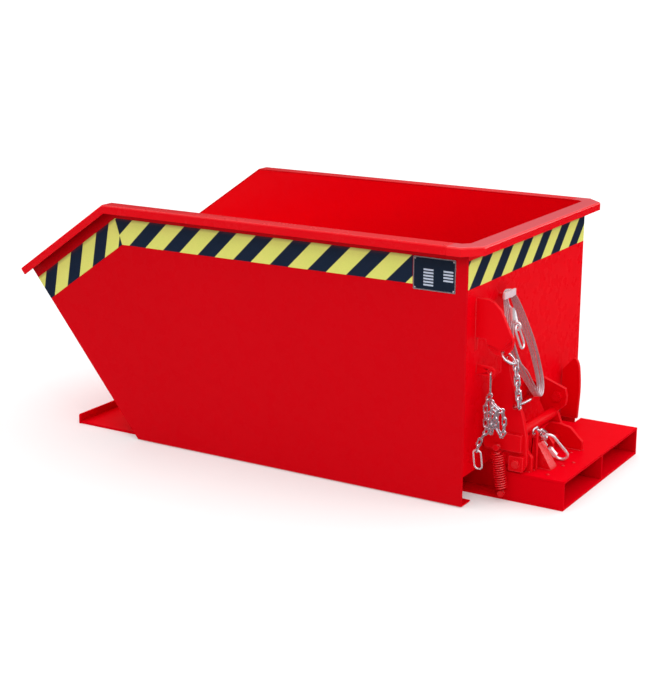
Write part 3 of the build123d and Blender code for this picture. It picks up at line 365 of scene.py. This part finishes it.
def plate_print():
    """Anodised plate with a bare metal edge and empty fields."""
    s = Shade("type_plate_print")
    x, y, z = s.axes()
    u = s.calc("DIVIDE", s.calc("SUBTRACT", x, 0.3353), 0.090)
    v = s.calc("DIVIDE", s.calc("SUBTRACT", z, 0.42305), 0.0645)

    def inside(a, lo, hi):
        return s.calc("MULTIPLY", s.calc("GREATER_THAN", a, lo), s.calc("LESS_THAN", a, hi))

    face = s.calc("MULTIPLY", inside(u, 0.022, 0.978), inside(v, 0.031, 0.969))
    rows_l = s.calc("LESS_THAN", s.calc("FRACT", s.calc("DIVIDE", s.calc("SUBTRACT", v, 0.14), 0.092)), 0.56)
    left = s.calc("MULTIPLY", s.calc("MULTIPLY", inside(u, 0.245, 0.48), inside(v, 0.14, 0.14 + 0.092 * 6)), rows_l)
    rows_r = s.calc("LESS_THAN", s.calc("FRACT", s.calc("DIVIDE", s.calc("SUBTRACT", v, 0.325), 0.092)), 0.56)
    right = s.calc("MULTIPLY", s.calc("MULTIPLY", inside(u, 0.715, 0.945), inside(v, 0.325, 0.325 + 0.092 * 4)), rows_r)
    fields = s.calc("MAXIMUM", left, right)
    grain = s.noise(900.0, 3.0, 0.6, s.stretched(1.0, 1.0, 0.08))
    navy = s.mix(grain, lin(14, 26, 44), lin(26, 40, 60))
    pale_tone = s.mix(grain, lin(214, 208, 214), lin(160, 156, 164))
    blank = s.mix(grain, lin(196, 206, 222), lin(172, 184, 204))
    color = s.mix(face, pale_tone, navy)
    color = s.mix(fields, color, blank)
    s.set(color=color, metal=s.span(face, 0.0, 1.0, 0.7, 0.0), rough=s.span(grain, 0.3, 0.7, 0.28, 0.42),
          normal=s.bump(fields, 0.15, 0.0002), spec=0.3)
    return s.mat


PLATE = plate_print()


def floor_white():
    s = Shade("studio_floor")
    n = s.noise(0.8, 4.0, 0.6)
    f = s.noise(90.0, 3.0, 0.6)
    color = s.mix(s.span(n, 0.3, 0.7, 0.0, 1.0), (0.70, 0.70, 0.70, 1.0), (0.68, 0.68, 0.68, 1.0))
    s.set(color=color, rough=s.span(f, 0.3, 0.7, 0.75, 0.9), spec=0.1)
    s.bsdf.inputs["Emission Color"].default_value = (1.0, 1.0, 1.0, 1.0)
    s.bsdf.inputs["Emission Strength"].default_value = 0.24
    return s.mat


# ------------------------------------------------------------------ finish of the CAD nodes
def coat(node, material):
    o = NODES[node]
    o.data.materials.clear()
    o.data.materials.append(material)


def round_edges(node, width, segments=3, angle=35.0):
    """Broken edges on a plate, as sheared and painted steel has them."""
    o = NODES[node]
    w = o.modifiers.new("join", "WELD")
    w.merge_threshold = 0.00002
    b = o.modifiers.new("edges", "BEVEL")
    b.width = width * MM
    b.segments = segments
    b.limit_method = "ANGLE"
    b.angle_limit = math.radians(angle)
    b.use_clamp_overlap = True
    b.miter_outer = "MITER_ARC"
    n = o.modifiers.new("flat", "WEIGHTED_NORMAL")
    n.mode = "FACE_AREA"
    n.weight = 50
    n.keep_sharp = False


SHEET = ["tub_floor", "tub_front_plate", "tub_rear_wall", "tub_side_near", "tub_side_far", "bottom_flanges",
         "rim_near", "rim_far", "rim_rear"]
PLATES = ["base_bottom_plate", "front_foot_plate", "front_stop_lip", "pocket_top_plate", "pocket_sides",
          "pocket_divider", "rear_box_top", "rear_box_sides", "rear_box_webs", "hinge_brackets", "guide_plate",
          "latch_brackets", "latch_gusset", "chain_eye", "hinge_ears", "catch_lugs", "chain_lug", "rope_hook",
          "wall_eye", "latch_lever", "spring_arm", "pivot_boss", "cross_tube", "hook_plate", "pivot_shaft",
          "spring_pin_lower", "lever_fasteners", "hinge_collars"]
for name in SHEET:
    coat(name, RED_SHEET)
    round_edges(name, 0.7)
for name in ("tub_floor", "tub_front_plate"):
    coat(name, RED_INSIDE)
coat("tub_side_far", RED_FAR)
coat("tub_side_near", RED_SIDE)
for name in ("rim_near", "rim_far"):
    coat(name, RED_RIM)
coat("rim_rear", RED_RIM_REAR)
for name in PLATES:
    coat(name, RED_PLATE)
for name in PLATES[:9]:
    coat(name, RED_BASE)
for name in PLATES[:17]:
    round_edges(name, 0.9)
for name in ("rope_hook", "wall_eye", "latch_lever", "spring_arm", "pivot_boss", "hook_plate", "lever_fasteners"):
    round_edges(name, 0.8)
coat("rope_hook", HOOK_PALE)
for name in ("latch_gusset", "lever_fasteners", "spring_pin_lower", "pivot_shaft"):
    coat(name, RED_SHINE)
for name in ("hinge_pin", "catch_pin"):
    coat(name, PIN)
coat("hinge_bushes", BRONZE)
coat("rest_pads", RUBBER)
round_edges("rest_pads", 0.8)
for name in ("safety_chain", "hanging_chain", "release_chain", "pull_ring", "lug_ring"):
    coat(name, ZINC)
for name in ("screw_link_body", "screw_link_sleeve", "snap_hook_body", "snap_hook_gate", "rope_end_fittings",
             "rope_end_link", "type_plate_rivets"):
    coat(name, ZINC_BRIGHT)
for name in ("hazard_tapes_near", "hazard_tapes_far"):
    coat(name, TAPE_SIDE)
coat("hazard_tape_rear", TAPE_REAR)
coat("type_plate", PLATE)
coat("rope_hank", ROPE)
coat("rope_tail", ROPE)
coat("latch_spring", RED_SPRING)


# ------------------------------------------------------------------ mesh tools
def new_piece(name, verts, faces, material, body, smooth=True):
    mesh = bpy.data.meshes.new(name)
    mesh.from_pydata([tuple(v) for v in verts], [], faces)
    mesh.validate()
    mesh.update()
    if smooth:
        for p in mesh.polygons:
            p.use_smooth = True
    o = bpy.data.objects.new(name, mesh)
    SCENE.collection.objects.link(o)
    mesh.materials.append(material)
    if body:
        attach(o, body)
    return o


def frames_along(points):
    """Tangent and two cross directions at each point, carried along without twist."""
    n = len(points)
    tangents = []
    for i in range(n):
        a, b = points[max(0, i - 1)], points[min(n - 1, i + 1)]
        tangents.append((b - a).normalized())
    up = Vector((1, 0, 0)) if abs(tangents[0].x) < 0.8 else Vector((0, 1, 0))
    e1 = (up - tangents[0] * up.dot(tangents[0])).normalized()
    out = []
    for t in tangents:
        e1 = (e1 - t * e1.dot(t)).normalized()
        out.append((t, e1, t.cross(e1)))
    return out


def tube(points, ring, close=True):
    """A skin along points. ring(i) gives (radius, angle) pairs for that point."""
    verts, faces = [], []
    fr = frames_along(points)
    size = None
    for i, p in enumerate(points):
        _, e1, e2 = fr[i]
        pairs = ring(i)
        size = len(pairs)
        for r, a in pairs:
            verts.append(p + (e1 * math.cos(a) + e2 * math.sin(a)) * r)
    for i in range(len(points) - 1):
        for k in range(size):
            a, b = i * size + k, i * size + (k + 1) % size
            faces.append((a, b, b + size, a + size))
    if close:
        faces.append(tuple(range(size - 1, -1, -1)))
        last = (len(points) - 1) * size
        faces.append(tuple(last + k for k in range(size)))
    return verts, faces


# ------------------------------------------------------------------ release rope
ROPE_D = 3.0
HANK = [(468.0, -143.9, 407.9), (467.8, -150.4, 404.3), (467.4, -153.5, 397.6), (468.1, -154.6, 389),
        (470.4, -154.8, 378), (473.6, -156.0, 361), (477, -158.8, 342), (481, -158.8, 320), (485.3, -154.4, 295),
        (490.3, -144.2, 269), (495, -124, 241), (498, -100, 214), (499.8, -80, 195), (500.5, -66, 181),
        (500.5, -53.5, 174), (500, -41, 179.5), (498.5, -36, 197), (493.5, -40.5, 230), (486, -57, 282),
        (474.5, -82.5, 338), (469.2, -106, 378), (468.6, -120.6, 391.8), (468.4, -131, 402.0), (468.2, -136.6, 407.0)]
base = [Vector(p) for p in HANK]
N = len(base)
middle = sum(base, Vector()) / N
normal = Vector()
for i in range(N):
    normal += (base[i] - middle).cross(base[(i + 1) % N] - middle)
normal.normalize()
if normal.x < 0:
    normal = -normal
TURNS = 5
LEAN = {0: 0, 1: -4, 2: -10, 3: -17, 4: -23, 5: -28, 6: -30, 7: -30, 8: -30, 9: -30, 10: -28, 11: -22, 12: -14, 13: -5,
        14: 4, 15: 13, 16: 23, 17: 32, 18: 36, 19: 35, 20: 28, 21: 18, 22: 9, 23: 3}
PITCH = {0: 1.8, 1: 1.9, 2: 2.1, 3: 2.6, 4: 3.1, 5: 3.4, 6: 3.5, 7: 3.5, 8: 3.5, 9: 3.5, 10: 3.4, 11: 3.2, 12: 3.0,
         13: 2.9, 14: 2.8, 15: 2.9, 16: 3.1, 17: 3.5, 18: 3.8, 19: 3.8, 20: 3.2, 21: 2.5, 22: 2.0, 23: 1.8}
APART = 3.16


def turn_point(i, s):
    """The hank's point i on turn s: the turns nest two deep along the hook's stem, and fan out side by side below."""
    t = (base[(i + 1) % N] - base[i - 1]).normalized()
    out = t.cross(normal)
    if out.dot(base[i] - middle) < 0:
        out = -out
    lean = math.radians(LEAN[i])
    way = normal * math.cos(lean) + out * math.sin(lean)
    pitch = PITCH[i]
    deep = 0.5 * math.sqrt(max(0.0, APART ** 2 - pitch ** 2)) * -math.cos(math.pi * s)
    loose = 0.5 * math.sin(0.8 * i + 2.1 * s) if 6 < i < 19 else 0.0
    return base[i] + way * (s - 0.5 * (TURNS - 1)) * pitch + way.cross(t) * deep + normal * loose


route = [Vector((487.5, -159, 354)), Vector((488.8, -160, 338)), Vector((490.3, -159.5, 318)),
         Vector((493.0, -155.0, 294)), Vector((497.0, -145.0, 267)), turn_point(10, TURNS) + Vector((2.5, 0, 0)),
         turn_point(11, TURNS)]
for turn in range(TURNS):
    s = TURNS - 1 - turn
    for i in range(12, N):
        route.append(turn_point(i, s + {12: 0.8, 13: 0.6, 14: 0.4, 15: 0.2}.get(i, 0.0)))
    route.append(turn_point(0, s))
    if turn < TURNS - 1:
        for i in range(1, 12):
            route.append(turn_point(i, s))
route += [turn_point(1, 0), turn_point(2, 0), Vector((464.0, -152.3, 390.0)), Vector((468.2, -147.8, 382.6)),
          Vector((474.8, -143.6, 376.2)), Vector((480, -141, 368))]


def spline_points(name, points, steps):
    """Points along the NURBS spline with these control points, in metres."""
    curve = bpy.data.curves.new(name, "CURVE")
    curve.dimensions = "3D"
    sp = curve.splines.new("NURBS")
    sp.points.add(len(points) - 1)
    for q, p in zip(sp.points, points):
        q.co = (p.x * MM, p.y * MM, p.z * MM, 1.0)
    sp.order_u = 3
    sp.use_endpoint_u = True
    sp.resolution_u = steps
    curve.resolution_u = steps
    holder = bpy.data.objects.new(name, curve)
    SCENE.collection.objects.link(holder)
    mesh = bpy.data.meshes.new_from_object(holder)
    line = [v.co.copy() for v in mesh.vertices]
    bpy.data.objects.remove(holder)
    bpy.data.meshes.remove(mesh)
    bpy.data.curves.remove(curve)
    return line


line = spline_points("rope_route", route, 24)
reach = [0.0]
for a, b in zip(line, line[1:]):
    reach.append(reach[-1] + (b - a).length)
R = ROPE_D / 2 * MM
LOBE = []
for k in range(6):
    for j in range(6):
        d = math.radians(-30 + 10 * j)
        LOBE.append((2 * R / 3 * math.cos(d) + math.sqrt(max(0.0, (R / 3) ** 2 - (2 * R / 3 * math.sin(d)) ** 2)),
                     math.radians(60 * k) + d))
verts, faces = tube(line, lambda i: [(r, a + 2 * math.pi * reach[i] / 0.020) for r, a in LOBE])
rope = new_piece("release_rope", verts, faces, ROPE, "tub")
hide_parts("rope_hank", "rope_tail")


# ------------------------------------------------------------------ latch spring
def spring():
    low, top = Vector((501, -213, 18)), Vector((488, -213, 111))
    run = (top - low).normalized()
    side = Vector((0, -1, 0))
    third = run.cross(side)
    eye, coil, turns = 5.2, 11.6, 15
    body0, body1 = eye + 7.0, (top - low).length - eye - 7.0
    pts = []

    def at(along, r, a):
        return low + run * along + (side * math.cos(a) + third * math.sin(a)) * r

    # lower eye round its pin, in the plane across the pin
    for k in range(19):
        a = math.radians(-165 + 330 * k / 18)
        pts.append(low + (run * -math.cos(a) + third * math.sin(a)) * eye)
    n = 8
    start = pts[-1]
    for k in range(1, n):
        f = k / n
        g = f * f * (3 - 2 * f)
        a = -math.pi * (1 - f)
        want = at(eye + 7.0 * f, coil * g, a)
        pts.append(start.lerp(want, min(1.0, f * 1.6)))
    steps = turns * 20
    for k in range(steps + 1):
        f = k / steps
        pts.append(at(body0 + (body1 - body0) * f, coil, 2 * math.pi * turns * f))
    end_eye = []
    for k in range(19):
        a = math.radians(165 - 330 * k / 18)
        end_eye.append(top + (run * math.cos(a) + third * math.sin(a)) * eye)
    for k in range(1, n):
        f = 1 - k / n
        g = f * f * (3 - 2 * f)
        a = math.pi * (1 - f)
        want = at((top - low).length - eye - 7.0 * f, coil * g, a)
        pts.append(end_eye[0].lerp(want, min(1.0, f * 1.6)))
    pts += end_eye
    pts = [p * MM for p in pts]
    ring = [(1.3 * MM, 2 * math.pi * k / 12) for k in range(12)]
    v, f = tube(pts, lambda i: ring)
    o = new_piece("tension_spring", v, f, RED_SPRING, None)
    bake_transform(o)
    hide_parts("latch_spring")
    return o


spring()


# ------------------------------------------------------------------ weld beads
random.seed(7)


def bead(name, points, width, body):
    """A fillet weld along straight runs: overlapping ripples of unequal size, half sunk in the corner."""
    total = []
    for a, b in zip(points, points[1:]):
        a, b = Vector(a), Vector(b)
        n = max(2, int((b - a).length / 0.7))
        total += [a.lerp(b, k / n) for k in range(n)]
    total.append(Vector(points[-1]))
    phase = random.random() * 6
    size = []
    for k in range(len(total)):
        end = min(1.0, 0.35 + min(k, len(total) - 1 - k) * 0.16)
        saw = ((k * 0.7 / 2.6 + phase) % 1.0)
        size.append(width * end * (0.86 + 0.17 * math.sin(math.pi * saw) + random.uniform(-0.035, 0.035)))
    pts = [p * MM for p in total]
    v, f = tube(pts, lambda i: [(size[i] * MM, 2 * math.pi * k / 10) for k in range(10)])
    return new_piece(name, v, f, RED_WELD, body)


def lug_welds(node, body, wall_x, width=2.2):
    lo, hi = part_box(node)
    lo, hi = Vector(lo) / MM, Vector(hi) / MM
    for side, y in (("a", lo.y), ("b", hi.y)):
        bead(f"weld_{node}_{side}", [(wall_x, y, lo.z + 2), (wall_x, y, hi.z - 2)], width, body)


lug_welds("chain_lug", "tub", 450.0)
lug_welds("wall_eye", "tub", 450.0, 1.8)
bead("weld_rope_hook_top", [(450, -146, 400), (450, -136, 400)], 2.0, "tub")
bead("weld_rope_hook_low", [(450, -146, 394), (450, -136, 394)], 2.0, "tub")
TOP = 60.0
for tag, y0, y1, x0, x1 in (("outer", -183, -175, 505, 547), ("mid", -79, -71, 505, 547), ("far", -9, -1, 505, 581)):
    bead(f"weld_bracket_{tag}_a", [(x0, y0, TOP), (x1, y0, TOP)], 2.6, "base")
    bead(f"weld_bracket_{tag}_b", [(x0, y1, TOP), (x1, y1, TOP)], 2.6, "base")
bead("weld_chain_eye_a", [(538, -166, TOP), (550, -166, TOP)], 2.2, "base")
bead("weld_chain_eye_b", [(538, -160, TOP), (550, -160, TOP)], 2.2, "base")
bead("weld_gusset_a", [(540, -152, TOP), (575, -152, TOP)], 2.4, "base")
bead("weld_gusset_b", [(540, -122, TOP), (575, -122, TOP)], 2.4, "base")
for k, (x, y) in enumerate(((581, -3), (569, -32), (597, -86), (586, -114), (581.5, -178))):
    bead(f"weld_spot_{k}", [(x - 4, y - 1, TOP), (x + 4, y + 1, TOP)], 3.0, "base")


# ------------------------------------------------------------------ floor and light
floor_mesh = bpy.data.meshes.new("floor")
S = 40.0
floor_mesh.from_pydata([(-S, -S, -0.0004), (S, -S, -0.0004), (S, S, -0.0004), (-S, S, -0.0004)], [], [(0, 1, 2, 3)])
floor = bpy.data.objects.new("floor", floor_mesh)
SCENE.collection.objects.link(floor)
floor_mesh.materials.append(floor_white())
floor.visible_glossy = False

world = bpy.data.worlds.new("studio")
SCENE.world = world
world.use_nodes = True
wt = world.node_tree
background = next(n for n in wt.nodes if n.type == "BACKGROUND")
wc = wt.nodes.new("ShaderNodeTexCoord")
ws = wt.nodes.new("ShaderNodeSeparateXYZ")
wr = wt.nodes.new("ShaderNodeValToRGB")
wt.links.new(wc.outputs["Generated"], ws.inputs[0])
wt.links.new(ws.outputs[2], wr.inputs[0])
stops = [(0.0, 0.0), (0.03, 0.05), (0.27, 0.16), (0.42, 0.42), (0.60, 0.95), (1.0, 0.96)]
while len(wr.color_ramp.elements) < len(stops):
    wr.color_ramp.elements.new(0.5)
for e, (p, v) in zip(wr.color_ramp.elements, stops):
    e.position = p
    e.color = (v, v, v, 1.0)
wt.links.new(wr.outputs[0], background.inputs["Color"])
background.inputs["Strength"].default_value = 1.69


def softbox(name, place, aim, width, height, radiance):
    light = bpy.data.lights.new(name, "AREA")
    light.shape = "RECTANGLE"
    light.size, light.size_y = width, height
    light.energy = radiance * math.pi * width * height
    o = bpy.data.objects.new(name, light)
    SCENE.collection.objects.link(o)
    way = Vector(aim) - Vector(place)
    o.matrix_world = Matrix.Translation(Vector(place)) @ way.to_track_quat("-Z", "Y").to_matrix().to_4x4()
    o.visible_camera = False
    return o


softbox("right_box", (3.6, 0.6, 1.9), (0.45, 0, 0.2), 2.4, 2.0, 0.95)
softbox("spark_box", (2.5, -2.3, 2.3), (0.48, -0.2, 0.25), 0.36, 0.36, 24.0)
softbox("spark_box_low", (1.6, -3.0, 1.5), (0.48, -0.2, 0.25), 0.26, 0.26, 22.0)
softbox("glint_box", (2.75, 3.7, 1.5), (0.5, -0.1, 0.3), 1.7, 1.5, 2.6)

SCENE.view_settings.view_transform = "Standard"
SCENE.view_settings.look = "None"
SCENE.view_settings.exposure = 0.0
SCENE.view_settings.gamma = 1.0
